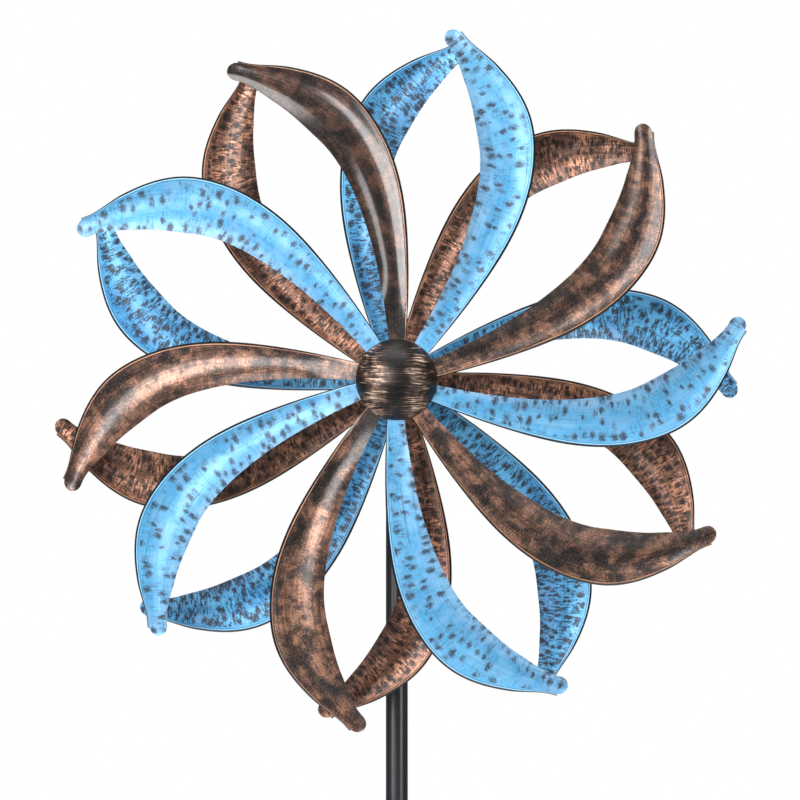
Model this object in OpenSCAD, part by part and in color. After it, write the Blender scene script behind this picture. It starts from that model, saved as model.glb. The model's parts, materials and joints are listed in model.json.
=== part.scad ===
// Kinetic wind sculpture: two ten-blade wheels with opposite sweep turn freely, one behind
// the other, on one axle at the head of a three-piece pole with a ground fork.
// Z is up and the wheels face -Y. The origin is on the pole's axis at ground level.

/* [Wheels] */
// Height of the axle above the ground
axle_height = 1400; // [1100:10:1600]
// Radius of each wheel at its blade tips
wheel_radius = 305; // [260:5:330]
// Distance between the planes of the two wheels
wheel_gap = 78; // [70:1:100]

/* [Blades] */
// Greatest width of a blade
blade_width = 48.5; // [36:0.5:54]
// Thickness of the pressed sheet
sheet_t = 1.2; // [0.8:0.1:1.6]
// Angle round the hub from a blade's root to its tip
sweep_angle = 30.5; // [20:0.5:34]
// Depth of the pressed trough as a share of the blade's width
trough_share = 0.18; // [0.08:0.01:0.24]
// Tilt of the blade's face: the inner edge stands forward
blade_pitch = 8; // [0:1:20]
// Width of the rim that turns back along the outer edge
rim_w = 1.8; // [0.8:0.1:2.4]

/* [Hub] */
// Radius of the front dome's rim
dome_radius = 35; // [33:0.5:36]
// Height of the dome
dome_height = 24; // [23:0.5:28]
// Radius of the circle of blade screws
screw_circle = 25.5; // [24:0.5:26.5]

/* [Pole] */
// Outer diameter of the pole
pole_d = 20; // [19:0.5:25]
// Wall of the pole
pole_wall = 1.2; // [1:0.1:1.5]

/* [Ground fork] */
// Depth of the centre spike in the ground
spike_depth = 200; // [160:5:260]
// Distance between the two side prongs
fork_width = 140; // [110:5:170]

/* [Hidden] */
$fn = 64;
blade_count = 10;
blade_step = 360 / blade_count;

// Blades bolted on by hand sit a little off even spacing, and one in each wheel well off it.
// Some also lean back from the wheel's plane, or forward where negative (all in degrees).
front_first = 155;
front_play = [0, -0.5, -1.5, -1, -1, -0.5, 0, 1.5, 0, 7.5];
front_lean = [2, 0, 1.5, -2, 3, 0, 2, 2, 6, 10.5];
rear_first = 149.5;
rear_play = [1, 1, 0, 0, -8, -0.5, 1, -0.5, 0, 1.5];
rear_lean = [2.5, 0, -3, 0, 3.5, 0.5, 0, -1.5, -1.5, -2];
// Distance beyond the clamped tab over which a lean sets in.
lean_start = 12;

// Running clearance of a bearing on the axle, clearance of a fit within one body.
run_gap = 0.05;
fit_gap = 0.02;
end_play = 0.3;

// Hub, seen along the axle from the blade plane; forward is positive.
barrel_r = 14;
barrel_back = 16.5;
barrel_front = 9.5;
disc_r = 31;
disc_t = 2.5;
ring_t = 1.5;
ring_bore = 16;
bearing_r = 11;
bearing_w = 7;
dome_t = 1;
dome_lift = sheet_t + 0.5;
dome_sphere = (pow(dome_radius, 2) + pow(dome_height, 2)) / (2 * dome_height);

// Blade root tab, from under the clamp ring out to where the trough begins.
tab_inner = 17;
tab_outer = 30;
tab_inner_w = 7;
root_w = 14.5;

// M8 axle and its fastenings.
axle_r = 4;
hex_flat = 13;
head_h = 5.3;
nut_h = 6.5;
nut_collar_h = 1.5;
washer_r = 8;
washer_t = 1.6;
loose_r = axle_r + 0.2;
spacer_r = 6;
saddle_r = 7;
saddle_grip = 4;
saddle_depth = 4;
standoff_len = 20;
dome_sleeve_t = 1.5;
dome_sleeve_start = 2.5;

// M4 blade and pole screws.
screw_r = 2;
screw_hole_r = 2.2;
screw_head_r = 3.5;
screw_head_h = 2.4;
small_nut_flat = 7;
small_nut_h = 3.2;

// Places along the axle, measured forward from the pole's axis.
pole_r = pole_d / 2;
saddle_back = pole_r + saddle_depth;
standoff_end = pole_r + standoff_len;
rear_barrel = standoff_end + washer_t + end_play;
barrel_len = barrel_back + barrel_front;
rear_plane = rear_barrel + barrel_back;
front_plane = rear_plane + wheel_gap;
spacer_start = rear_barrel + barrel_len + end_play + washer_t;
spacer_end = front_plane - barrel_back - end_play - washer_t;
nut_start = front_plane + barrel_front + end_play + washer_t;
axle_end = nut_start + nut_h + nut_collar_h + 2.2;

// Places up the pole.
pole_bore = pole_r - pole_wall;
pole_top = axle_height + 12;
pole_foot = 62;
upper_extra = 30;
section = (pole_top - pole_foot - upper_extra) / 3;
lower_joint = pole_foot + section;
upper_joint = lower_joint + section;
coupler_half = 40;
coupler_gap = 0.1;
coupler_wall = 1.5;
coupler_screw = 20;
stake_top = 170;
stake_screw = 90;
stake_wall = 2;
stake_plug = 12;
cap_h = 2.5;
cap_plug = 6;

// Ground fork.
spike_r = 6;
spike_cone = 35;
bar_r = 4;
bar_z = 30;
bar_bend = 20;
prong_depth = 165;
prong_cone = 25;
collar_r = 13;
collar_h = 6;

function two_digits(k) = str(k < 9 ? "0" : "", k + 1);
function blade_name(wheel, k) = str(wheel, "_blade_", two_digits(k));

pole_black = [0.09, 0.09, 0.1];
bronze = [0.45, 0.29, 0.21];
sky_blue = [0.4, 0.7, 0.93];
zinc = [0.68, 0.69, 0.7];
steel = [0.55, 0.56, 0.58];

// ---- Blade form -------------------------------------------------------------------------
// A blade lies along +X of its own frame and bends towards +Y; +Z faces the wind.

function polar(r, a) = [r * cos(a), r * sin(a)];

// The centreline is one cubic curve from the end of the tab to the tip.
root_lean = 3;
tip_lean = 78;
root_pull = 0.63 * wheel_radius;
tip_pull = 0.3 * wheel_radius;
tip = polar(wheel_radius, sweep_angle);
curve = [[tab_outer, 0], [tab_outer, 0] + polar(root_pull, root_lean),
         tip - polar(tip_pull, tip_lean), tip];

function centre_at(t) =
    pow(1 - t, 3) * curve[0] + 3 * pow(1 - t, 2) * t * curve[1]
    + 3 * (1 - t) * t * t * curve[2] + pow(t, 3) * curve[3];
function unit(v) = v / norm(v);
function heading_at(t) = unit(
    pow(1 - t, 2) * (curve[1] - curve[0]) + 2 * (1 - t) * t * (curve[2] - curve[1])
    + t * t * (curve[3] - curve[2]));

// Width along the curve: [place on the curve, share of the greatest width].
width_keys = [[0, root_w / blade_width], [0.13, 0.55], [0.29, 0.825], [0.47, 0.98],
              [0.63, 1], [0.81, 0.695], [0.93, 0.38], [1, 0.37]];
last_key = len(width_keys) - 1;

function key_slope(i) =
    let (a = width_keys[max(i - 1, 0)], b = width_keys[min(i + 1, last_key)])
    (b[1] - a[1]) / (b[0] - a[0]);
function key_below(t, i = 0) =
    i >= last_key - 1 || t < width_keys[i + 1][0] ? i : key_below(t, i + 1);
function smooth_width(t) =
    let (i = key_below(t), a = width_keys[i], b = width_keys[i + 1], span = b[0] - a[0],
         u = (t - a[0]) / span)
    (2 * pow(u, 3) - 3 * u * u + 1) * a[1] + (pow(u, 3) - 2 * u * u + u) * span * key_slope(i)
    + (3 * u * u - 2 * pow(u, 3)) * b[1] + (pow(u, 3) - u * u) * span * key_slope(i + 1);
function ramp(t, low, high) =
    let (u = min(max((t - low) / (high - low), 0), 1)) u * u * (3 - 2 * u);

// The tip is a round finger end: [place on the curve, share of the width there].
finger_r = 0.187 * blade_width;
finger_share = finger_r / (3 * tip_pull);
body_steps = 15;
tip_angles = [25, 48, 68, 84];
stations = concat(
    [for (i = [0 : body_steps]) [i / body_steps * (1 - finger_share), 1]],
    [for (a = tip_angles) [1 - finger_share * (1 - sin(a)), cos(a)]]
);

// Five places across the trough from the inner edge to the crest, as shares of that span.
across = [0, 0.25, 0.5, 0.76, 1];

// Height of the face over the wheel's plane: the trough, its tilt and the turned rim set in
// just beyond the tab.
function face_height(t, side, half, rim_drop) =
    let (form = ramp(t, 0.01, 0.14), trough = half * trough_share * (2 * pow(side / half, 2) - 1))
    sheet_t + form * (trough - side * tan(blade_pitch) - rim_drop);
function lean_drop(t, lean) =
    let (reach = norm(centre_at(t) - curve[0])) tan(lean) * reach * reach / (reach + lean_start);

// One cross-section as a closed loop: the face from inner to outer edge, then the back.
function section_loop(t, share, lean) =
    let (half = share * smooth_width(t) * blade_width / 2, middle = centre_at(t),
         along = heading_at(t), outward = [along[1], -along[0]], drop = lean_drop(t, lean),
         rim = min(rim_w, 0.2 * half), crest = half - rim,
         sides = concat([for (q = across) -half + q * (half + crest)], [half]),
         drops = concat([for (q = across) 0], [rim * (1 - ramp(t, 0.9, 0.97))]))
    section_points([for (i = [0 : len(sides) - 1])
        let (p = middle + sides[i] * outward)
        [p[0], p[1], face_height(t, sides[i], half, drops[i]) - drop]]);

// Closes a loop: the face's points, then the same points on the back in reverse.
function section_points(face) =
    concat(face, [for (i = [len(face) - 1 : -1 : 0]) face[i] - [0, 0, sheet_t]]);

// The flat tab in the same point order as the trough's sections.
function tab_loop(x, width) =
    section_points([for (i = [0 : len(across)]) [x, width / 2 - width * i / len(across), sheet_t]]);

// Joins the loops into one closed skin, with each end closed by pairs of triangles.
module swept_loops(loops) {
    n = len(loops[0]);
    last = len(loops) - 1;
    end_face = [for (j = [0 : n / 2 - 2]) each [[j, j + 1, n - 2 - j], [j, n - 2 - j, n - 1 - j]]];
    polyhedron(
        points = [for (loop = loops) each loop],
        faces = concat(
            end_face,
            [for (f = end_face) [last * n + f[2], last * n + f[1], last * n + f[0]]],
            [for (i = [0 : last - 1], j = [0 : n - 1])
                [i * n + j, (i + 1) * n + j, (i + 1) * n + (j + 1) % n]],
            [for (i = [0 : last - 1], j = [0 : n - 1])
                [i * n + j, (i + 1) * n + (j + 1) % n, i * n + (j + 1) % n]]
        ),
        convexity = 6
    );
}

module blade(lean) {
    difference() {
        swept_loops(concat(
            [tab_loop(tab_inner, tab_inner_w), tab_loop(tab_inner + 2, tab_inner_w + 1.2)],
            [for (s = stations) section_loop(s[0], s[1], lean)]
        ));
        translate([screw_circle, 0, -1]) cylinder(r = screw_hole_r, h = sheet_t + 2);
    }
}

// ---- Placing ----------------------------------------------------------------------------

// Turns +Z to face the wind and moves the work to a place along the axle.
module on_axle(forward) {
    translate([0, -forward, axle_height]) rotate([90, 0, 0]) children();
}

function front_angle(k) = front_first - sweep_angle - blade_step * k + front_play[k];
function rear_angle(k) = rear_first + sweep_angle - blade_step * k + rear_play[k];
front_angles = [for (k = [0 : blade_count - 1]) front_angle(k)];
rear_angles = [for (k = [0 : blade_count - 1]) rear_angle(k)];

module at_screws(angles) {
    for (a = angles) rotate(a) translate([screw_circle, 0, 0]) children();
}

module tube(outer_r, bore_r, h) {
    difference() {
        cylinder(r = outer_r, h = h);
        translate([0, 0, -1]) cylinder(r = bore_r, h = h + 2);
    }
}

module hexagon(flat, h) {
    cylinder(r = flat / sqrt(3), h = h, $fn = 6);
}

// ---- Wheel parts, in the wheel's own frame ----------------------------------------------

module wheel_hub(angles) {
    difference() {
        union() {
            translate([0, 0, -barrel_back]) cylinder(r = barrel_r, h = barrel_len);
            translate([0, 0, -disc_t]) cylinder(r = disc_r, h = disc_t);
        }
        translate([0, 0, -barrel_back - 1]) cylinder(r = bearing_r - 1.5, h = barrel_len + 2);
        translate([0, 0, -barrel_back - 1]) cylinder(r = bearing_r + fit_gap, h = bearing_w + 1);
        translate([0, 0, barrel_front - bearing_w]) cylinder(r = bearing_r + fit_gap, h = bearing_w + 1);
        at_screws(angles) translate([0, 0, -disc_t - 1]) cylinder(r = screw_hole_r, h = disc_t + 2);
    }
}

module clamp_ring(angles) {
    translate([0, 0, sheet_t]) difference() {
        cylinder(r = disc_r, h = ring_t);
        translate([0, 0, -1]) cylinder(r = ring_bore, h = ring_t + 2);
        at_screws(angles) translate([0, 0, -1]) cylinder(r = screw_hole_r, h = ring_t + 2);
    }
}

module blade_screws(angles) {
    at_screws(angles) {
        translate([0, 0, sheet_t + ring_t]) cylinder(r = screw_head_r, h = screw_head_h);
        translate([0, 0, -disc_t - small_nut_h - 1])
            cylinder(r = screw_r - fit_gap, h = disc_t + small_nut_h + 1 + sheet_t + ring_t + 0.5);
    }
}

module blade_nuts(angles) {
    at_screws(angles) translate([0, 0, -disc_t - small_nut_h]) difference() {
        hexagon(small_nut_flat, small_nut_h);
        translate([0, 0, -1]) cylinder(r = screw_r, h = small_nut_h + 2);
    }
}

module bearing() {
    tube(bearing_r, axle_r + run_gap, bearing_w);
}

module dome_shell() {
    sphere_z = dome_lift + dome_height - dome_sphere;
    sleeve_z = dome_lift + dome_sleeve_start;
    difference() {
        translate([0, 0, sphere_z]) sphere(r = dome_sphere);
        translate([0, 0, sphere_z]) sphere(r = dome_sphere - dome_t);
        translate([0, 0, dome_lift - 2 * dome_sphere])
            cylinder(r = 2 * dome_sphere, h = 2 * dome_sphere);
    }
    intersection() {
        translate([0, 0, sleeve_z]) tube(barrel_r + dome_sleeve_t, barrel_r + fit_gap, dome_height);
        translate([0, 0, sphere_z]) sphere(r = dome_sphere - dome_t / 2);
    }
}

// ---- Rear wheel -------------------------------------------------------------------------

module rear_hub() { color(pole_black) on_axle(rear_plane) wheel_hub(rear_angles); }
module rear_clamp_ring() { color(pole_black) on_axle(rear_plane) clamp_ring(rear_angles); }
module rear_blade_screws() { color(zinc) on_axle(rear_plane) blade_screws(rear_angles); }
module rear_blade_nuts() { color(zinc) on_axle(rear_plane) blade_nuts(rear_angles); }
module rear_wheel_back_bearing() { color(steel) on_axle(rear_plane - barrel_back) bearing(); }
module rear_wheel_front_bearing() {
    color(steel) on_axle(rear_plane + barrel_front - bearing_w) bearing();
}
module rear_blade(k) {
    color(k % 2 == 0 ? sky_blue : bronze)
        on_axle(rear_plane) rotate(rear_angles[k]) mirror([0, 1, 0]) blade(rear_lean[k]);
}

// ---- Front wheel ------------------------------------------------------------------------

module front_hub() { color(pole_black) on_axle(front_plane) wheel_hub(front_angles); }
module front_clamp_ring() { color(pole_black) on_axle(front_plane) clamp_ring(front_angles); }
module front_blade_screws() { color(zinc) on_axle(front_plane) blade_screws(front_angles); }
module front_blade_nuts() { color(zinc) on_axle(front_plane) blade_nuts(front_angles); }
module front_wheel_back_bearing() { color(steel) on_axle(front_plane - barrel_back) bearing(); }
module front_wheel_front_bearing() {
    color(steel) on_axle(front_plane + barrel_front - bearing_w) bearing();
}
module hub_dome() { color(bronze) on_axle(front_plane) dome_shell(); }
module front_blade(k) {
    color(k % 2 == 0 ? sky_blue : bronze)
        on_axle(front_plane) rotate(front_angles[k]) blade(front_lean[k]);
}

// ---- Axle -------------------------------------------------------------------------------

module axle_bolt() {
    color(zinc) {
        on_axle(-saddle_back - 1) cylinder(r = axle_r, h = saddle_back + 1 + axle_end);
        on_axle(-saddle_back - head_h) hexagon(hex_flat, head_h);
    }
}

// A sleeve along the axle whose end is hollowed to sit on the round pole.
module pole_sleeve(start, end) {
    difference() {
        on_axle(start) tube(saddle_r, loose_r, end - start);
        translate([0, 0, axle_height - 2 * saddle_r])
            cylinder(r = pole_r + fit_gap, h = 4 * saddle_r);
    }
}

module rear_saddle() { color(pole_black) pole_sleeve(-saddle_back, saddle_grip - pole_r); }
module axle_standoff() { color(pole_black) pole_sleeve(pole_r - saddle_grip, standoff_end); }
module wheel_spacer() {
    color(zinc) on_axle(spacer_start) tube(spacer_r, loose_r, spacer_end - spacer_start);
}
module axle_washers() {
    places = [standoff_end, spacer_start - washer_t, spacer_end, nut_start - washer_t];
    color(zinc) for (forward = places) on_axle(forward) tube(washer_r, loose_r, washer_t);
}
module lock_nut() {
    color(zinc) on_axle(nut_start) difference() {
        union() {
            hexagon(hex_flat, nut_h);
            cylinder(r = hex_flat / 2 - 0.5, h = nut_h + nut_collar_h);
        }
        translate([0, 0, -1]) cylinder(r = axle_r + fit_gap, h = nut_h + nut_collar_h + 2);
    }
}

// ---- Pole -------------------------------------------------------------------------------

// Cross holes for pole screws, drilled from the back.
module back_holes(heights, r) {
    for (z = heights) translate([0, 0, z]) rotate([-90, 0, 0]) cylinder(r = r, h = pole_r + 1);
}

module pole_section(low, high, screw_heights) {
    difference() {
        translate([0, 0, low]) tube(pole_r, pole_bore, high - low);
        back_holes(screw_heights, screw_hole_r);
    }
}

module coupler(joint) {
    outer = pole_bore - coupler_gap;
    difference() {
        translate([0, 0, joint - coupler_half]) tube(outer, outer - coupler_wall, 2 * coupler_half);
        back_holes([joint - coupler_screw, joint + coupler_screw], screw_r);
    }
}

module lower_pole() {
    color(pole_black) pole_section(pole_foot, lower_joint, [stake_screw, lower_joint - coupler_screw]);
}
module lower_coupler() { color(zinc) coupler(lower_joint); }
module middle_pole() {
    color(pole_black) pole_section(lower_joint, upper_joint,
                                   [lower_joint + coupler_screw, upper_joint - coupler_screw]);
}
module upper_coupler() { color(zinc) coupler(upper_joint); }
module upper_pole() {
    color(pole_black) difference() {
        pole_section(upper_joint, pole_top, [upper_joint + coupler_screw]);
        translate([0, pole_r + 1, axle_height]) rotate([90, 0, 0])
            cylinder(r = axle_r + run_gap, h = pole_d + 2);
    }
}
module pole_screws() {
    heights = [stake_screw, lower_joint - coupler_screw, lower_joint + coupler_screw,
               upper_joint - coupler_screw, upper_joint + coupler_screw];
    inner_end = pole_bore - 4;
    color(zinc) for (z = heights) translate([0, 0, z]) rotate([-90, 0, 0]) {
        translate([0, 0, inner_end]) cylinder(r = screw_r - fit_gap, h = pole_r - inner_end + 0.5);
        translate([0, 0, pole_r + fit_gap]) cylinder(r = screw_head_r, h = screw_head_h);
    }
}
module pole_cap() {
    color(pole_black) {
        translate([0, 0, pole_top]) cylinder(r = pole_r, h = cap_h);
        translate([0, 0, pole_top - cap_plug]) cylinder(r = pole_bore - coupler_gap, h = cap_plug + 1);
    }
}

// ---- Ground fork ------------------------------------------------------------------------

module stake_tube() {
    outer = pole_bore - coupler_gap;
    color(pole_black) difference() {
        cylinder(r = outer, h = stake_top);
        translate([0, 0, stake_plug]) cylinder(r = outer - stake_wall, h = stake_top);
        translate([-pole_r - 1, 0, bar_z]) rotate([0, 90, 0])
            cylinder(r = bar_r + fit_gap, h = pole_d + 2);
        back_holes([stake_screw], screw_r);
    }
}
module stop_collar() {
    bore = pole_bore - coupler_gap + fit_gap;
    color(pole_black) translate([0, 0, pole_foot - collar_h]) tube(collar_r, bore, collar_h);
}
module ground_spike() {
    shaft = spike_depth - spike_cone;
    color(pole_black) {
        translate([0, 0, -shaft]) cylinder(r = spike_r, h = shaft);
        translate([0, 0, -spike_depth]) cylinder(r1 = 0.8, r2 = spike_r, h = spike_cone);
    }
}
module fork_bar() {
    straight = fork_width / 2 - bar_bend;
    drop_top = bar_z - bar_bend;
    shaft_end = -prong_depth + prong_cone;
    color(pole_black) {
        translate([-straight, 0, bar_z]) rotate([0, 90, 0]) cylinder(r = bar_r, h = 2 * straight);
        for (side = [0, 180]) rotate(side) {
            translate([straight, 0, drop_top]) rotate([90, 0, 0])
                rotate_extrude(angle = 90) translate([bar_bend, 0]) circle(r = bar_r);
            translate([fork_width / 2, 0, shaft_end]) cylinder(r = bar_r, h = drop_top - shaft_end);
            translate([fork_width / 2, 0, -prong_depth]) cylinder(r1 = 0.6, r2 = bar_r, h = prong_cone);
        }
    }
}

// ---- Drawing ----------------------------------------------------------------------------

ground_spike();
fork_bar();
stake_tube();
stop_collar();
lower_pole();
lower_coupler();
middle_pole();
upper_coupler();
upper_pole();
pole_screws();
pole_cap();
rear_saddle();
axle_standoff();
axle_bolt();
axle_washers();
wheel_spacer();
lock_nut();
rear_hub();
rear_clamp_ring();
rear_blade_screws();
rear_blade_nuts();
rear_wheel_back_bearing();
rear_wheel_front_bearing();
front_hub();
front_clamp_ring();
front_blade_screws();
front_blade_nuts();
front_wheel_back_bearing();
front_wheel_front_bearing();
hub_dome();
for (k = [0 : blade_count - 1]) {
    rear_blade(k);
    front_blade(k);
}
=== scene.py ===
import json
import math
import random

import bpy
from mathutils import Matrix, Vector


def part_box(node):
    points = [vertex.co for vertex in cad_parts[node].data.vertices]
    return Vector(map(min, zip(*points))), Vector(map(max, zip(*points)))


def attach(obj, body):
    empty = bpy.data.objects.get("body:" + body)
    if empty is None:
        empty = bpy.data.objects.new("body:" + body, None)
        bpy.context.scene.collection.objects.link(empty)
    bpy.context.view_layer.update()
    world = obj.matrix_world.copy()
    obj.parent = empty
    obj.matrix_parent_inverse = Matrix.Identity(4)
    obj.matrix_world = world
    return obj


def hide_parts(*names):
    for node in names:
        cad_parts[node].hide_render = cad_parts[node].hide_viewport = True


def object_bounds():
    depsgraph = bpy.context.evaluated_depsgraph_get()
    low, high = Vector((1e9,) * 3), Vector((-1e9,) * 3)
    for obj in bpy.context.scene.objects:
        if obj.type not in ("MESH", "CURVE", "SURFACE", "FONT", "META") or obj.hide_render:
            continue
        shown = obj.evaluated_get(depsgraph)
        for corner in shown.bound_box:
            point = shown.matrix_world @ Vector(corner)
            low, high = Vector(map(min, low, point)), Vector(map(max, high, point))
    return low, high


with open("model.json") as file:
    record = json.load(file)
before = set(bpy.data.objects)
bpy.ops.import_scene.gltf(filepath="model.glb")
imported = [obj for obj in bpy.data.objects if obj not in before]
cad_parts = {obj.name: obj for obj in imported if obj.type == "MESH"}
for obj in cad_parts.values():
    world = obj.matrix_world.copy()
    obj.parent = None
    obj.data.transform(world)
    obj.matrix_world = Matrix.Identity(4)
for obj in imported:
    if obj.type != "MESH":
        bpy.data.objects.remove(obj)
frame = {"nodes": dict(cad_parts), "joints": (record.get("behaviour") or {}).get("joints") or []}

# A garden spinner: two wheels of ten blades, one behind the other on an axle at the head of a
# pole. Shapes are worked out in mm, and Shape.build makes them metres.

MM = 0.001
WHEELS = ("front", "rear")
cad_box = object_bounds()
joints = {joint["name"]: joint for joint in frame["joints"]}
centres = {wheel: Vector(joints[f"{wheel}_wheel_spin"]["pos_m"]) for wheel in WHEELS}


def spun(degrees, axis="Z"):
    return Matrix.Rotation(math.radians(degrees), 4, axis)


def shifted(x=0, y=0, z=0):
    return Matrix.Translation((x, y, z))


def on_axle(centre):
    """Turns +Z of a wheel's own frame to face the wind, with its origin at centre, in metres."""
    return Matrix.Translation(Vector(centre) / MM) @ spun(90, "X")


# ---- Mesh building ----------------------------------------------------------------------


class Shape:
    """Gathers points, faces, material numbers and two UV maps, then makes one object."""

    def __init__(self):
        self.points = []
        self.faces = []
        self.slots = []
        self.place = []
        self.share = []

    def add(self, points, faces, move, slots=None, place=None, share=None):
        first = len(self.points)
        self.points += [move @ Vector(p) for p in points]
        self.faces += [[first + i for i in f] for f in faces]
        self.slots += slots or [0] * len(faces)
        self.place += place or [(p[0], p[1]) for p in points]
        self.share += share or [(0.5, 0.5)] * len(points)

    def build(self, name, materials, body, smooth):
        """Makes the piece. Edges sharper than smooth, in degrees, are kept sharp."""
        mesh = bpy.data.meshes.new(name)
        mesh.from_pydata([p * MM for p in self.points], [], self.faces)
        for slot, face in zip(self.slots, mesh.polygons):
            face.material_index = slot
            face.use_smooth = True
        for label, values in (("Place", self.place), ("Share", self.share)):
            layer = mesh.uv_layers.new(name=label)
            for loop in mesh.loops:
                layer.data[loop.index].uv = values[loop.vertex_index]
        mesh.set_sharp_from_angle(angle=math.radians(smooth))
        mesh.validate()
        piece = bpy.data.objects.new(name, mesh)
        bpy.context.scene.collection.objects.link(piece)
        for material in materials:
            mesh.materials.append(material)
        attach(piece, body)
        return piece


def make(name, parts, materials, body, nodes, smooth=35):
    """One piece from parts of (points, faces, move) or (points, faces, move, material numbers).
    It stands for the CAD nodes named."""
    shape = Shape()
    for part in parts:
        shape.add(*part)
    piece = shape.build(name, materials, body, smooth)
    if nodes:
        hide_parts(*nodes)


# ---- Blade form: the CAD source's dimensions, in mm and degrees ------------------------

BLADES = 10
STEP = 360 / BLADES
RADIUS = 305.0
WIDTH = 48.5
SHEET = 1.2
SWEEP = 30.5
TROUGH = 0.18
PITCH = 8.0
TAB_INNER = 17.0
TAB_OUTER = 30.0
TAB_INNER_W = 7.0
ROOT_W = 14.5
ROOT_PULL = 0.63 * RADIUS
ROOT_LEAN = 3
TIP_PULL = 0.3 * RADIUS
TIP_LEAN = 78
FINGER_R = 0.187 * WIDTH
LEAN_START = 12.0
SCREW_CIRCLE = 25.5

# The first blade's angle, then how far each blade is off even spacing and how far it leans back,
# in degrees. These and the widths below were fitted to the photo by a search and rounded: they
# aren't readings by eye.
FIRST = {"front": 155, "rear": 149.5}
PLAY = {"front": [0, -0.5, -1.5, -1, -1, -0.5, 0, 1.5, 0, 7.5],
        "rear": [1, 1, 0, 0, -8, -0.5, 1, -0.5, 0, 1.5]}
LEAN = {"front": [2, 0, 1.5, -2, 3, 0, 2, 2, 6, 10.5],
        "rear": [2.5, 0, -3, 0, 3.5, 0.5, 0, -1.5, -1.5, -2]}

# Width along the curve: [place on the curve, share of the greatest width].
WIDTH_KEYS = [(0, ROOT_W / WIDTH), (0.13, 0.55), (0.29, 0.825), (0.47, 0.98), (0.63, 1),
              (0.81, 0.695), (0.93, 0.38), (1, 0.37)]


def blade_turn(wheel, k):
    sweep = -SWEEP if wheel == "front" else SWEEP
    return FIRST[wheel] + sweep - STEP * k + PLAY[wheel][k]


def polar(r, degrees):
    return Vector((r * math.cos(math.radians(degrees)), r * math.sin(math.radians(degrees))))


ROOT = Vector((TAB_OUTER, 0))
TIP = polar(RADIUS, SWEEP)
CURVE = [ROOT, ROOT + polar(ROOT_PULL, ROOT_LEAN), TIP - polar(TIP_PULL, TIP_LEAN), TIP]


def centre_at(t):
    a, b, c, d = CURVE
    return (1 - t) ** 3 * a + 3 * (1 - t) ** 2 * t * b + 3 * (1 - t) * t * t * c + t ** 3 * d


def heading_at(t):
    a, b, c, d = CURVE
    return ((1 - t) ** 2 * (b - a) + 2 * (1 - t) * t * (c - b) + t * t * (d - c)).normalized()


def key_slope(i):
    a, b = WIDTH_KEYS[max(i - 1, 0)], WIDTH_KEYS[min(i + 1, len(WIDTH_KEYS) - 1)]
    return (b[1] - a[1]) / (b[0] - a[0])


def width_at(t):
    i = max(k for k in range(len(WIDTH_KEYS) - 1) if k == 0 or WIDTH_KEYS[k][0] <= t)
    a, b = WIDTH_KEYS[i], WIDTH_KEYS[i + 1]
    span = b[0] - a[0]
    u = (t - a[0]) / span
    slopes = (u ** 3 - 2 * u * u + u) * key_slope(i) + (u ** 3 - u * u) * key_slope(i + 1)
    rise = 3 * u * u - 2 * u ** 3
    return WIDTH * ((1 - rise) * a[1] + rise * b[1] + slopes * span)


def ramp(t, low, high):
    u = min(max((t - low) / (high - low), 0), 1)
    return u * u * (3 - 2 * u)


# ---- Blade mesh -------------------------------------------------------------------------

# The face is FACE_STEPS wide and ends at a crease, RIM_W short of the outer edge. Beyond it come
# a rolled bead and the turned rim: [share of the way outward, height in mm]. The rim stops where
# the finger end begins to round, at RIM_END of the way along.
FACE_STEPS = 24
FACE_SHARES = [2 * j / FACE_STEPS - 1 for j in range(FACE_STEPS + 1)]
BODY_STEPS = 92
RIM_END = 0.973
RIM_W = 3.4
RIM_PLACES = [(0.08, -0.4), (0.16, -0.2), (0.24, 0.15), (0.33, 0.25), (0.42, 0.1), (0.5, -0.35),
              (0.62, -0.95), (0.8, -1.75), (1, -2.6)]
FINGER_ANGLES = (14, 26, 38, 50, 61, 71, 79, 85, 89)
FINGER_START = 1 - FINGER_R / (3 * TIP_PULL)
# Hand pressing leaves the face uneven by a sum of slow waves.
UNEVEN = 0.35 / 3
WAVES = 5


def blade_rows():
    """Places along the curve, each with the share of the width that the round end leaves there."""
    finger = 1 - FINGER_START
    body = [i / BODY_STEPS * RIM_END for i in range(BODY_STEPS + 1)]
    end = [FINGER_START + finger * math.sin(math.radians(a)) for a in FINGER_ANGLES]
    return [(t, math.cos(math.asin(max(0, (t - FINGER_START) / finger)))) for t in body + end]


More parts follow.
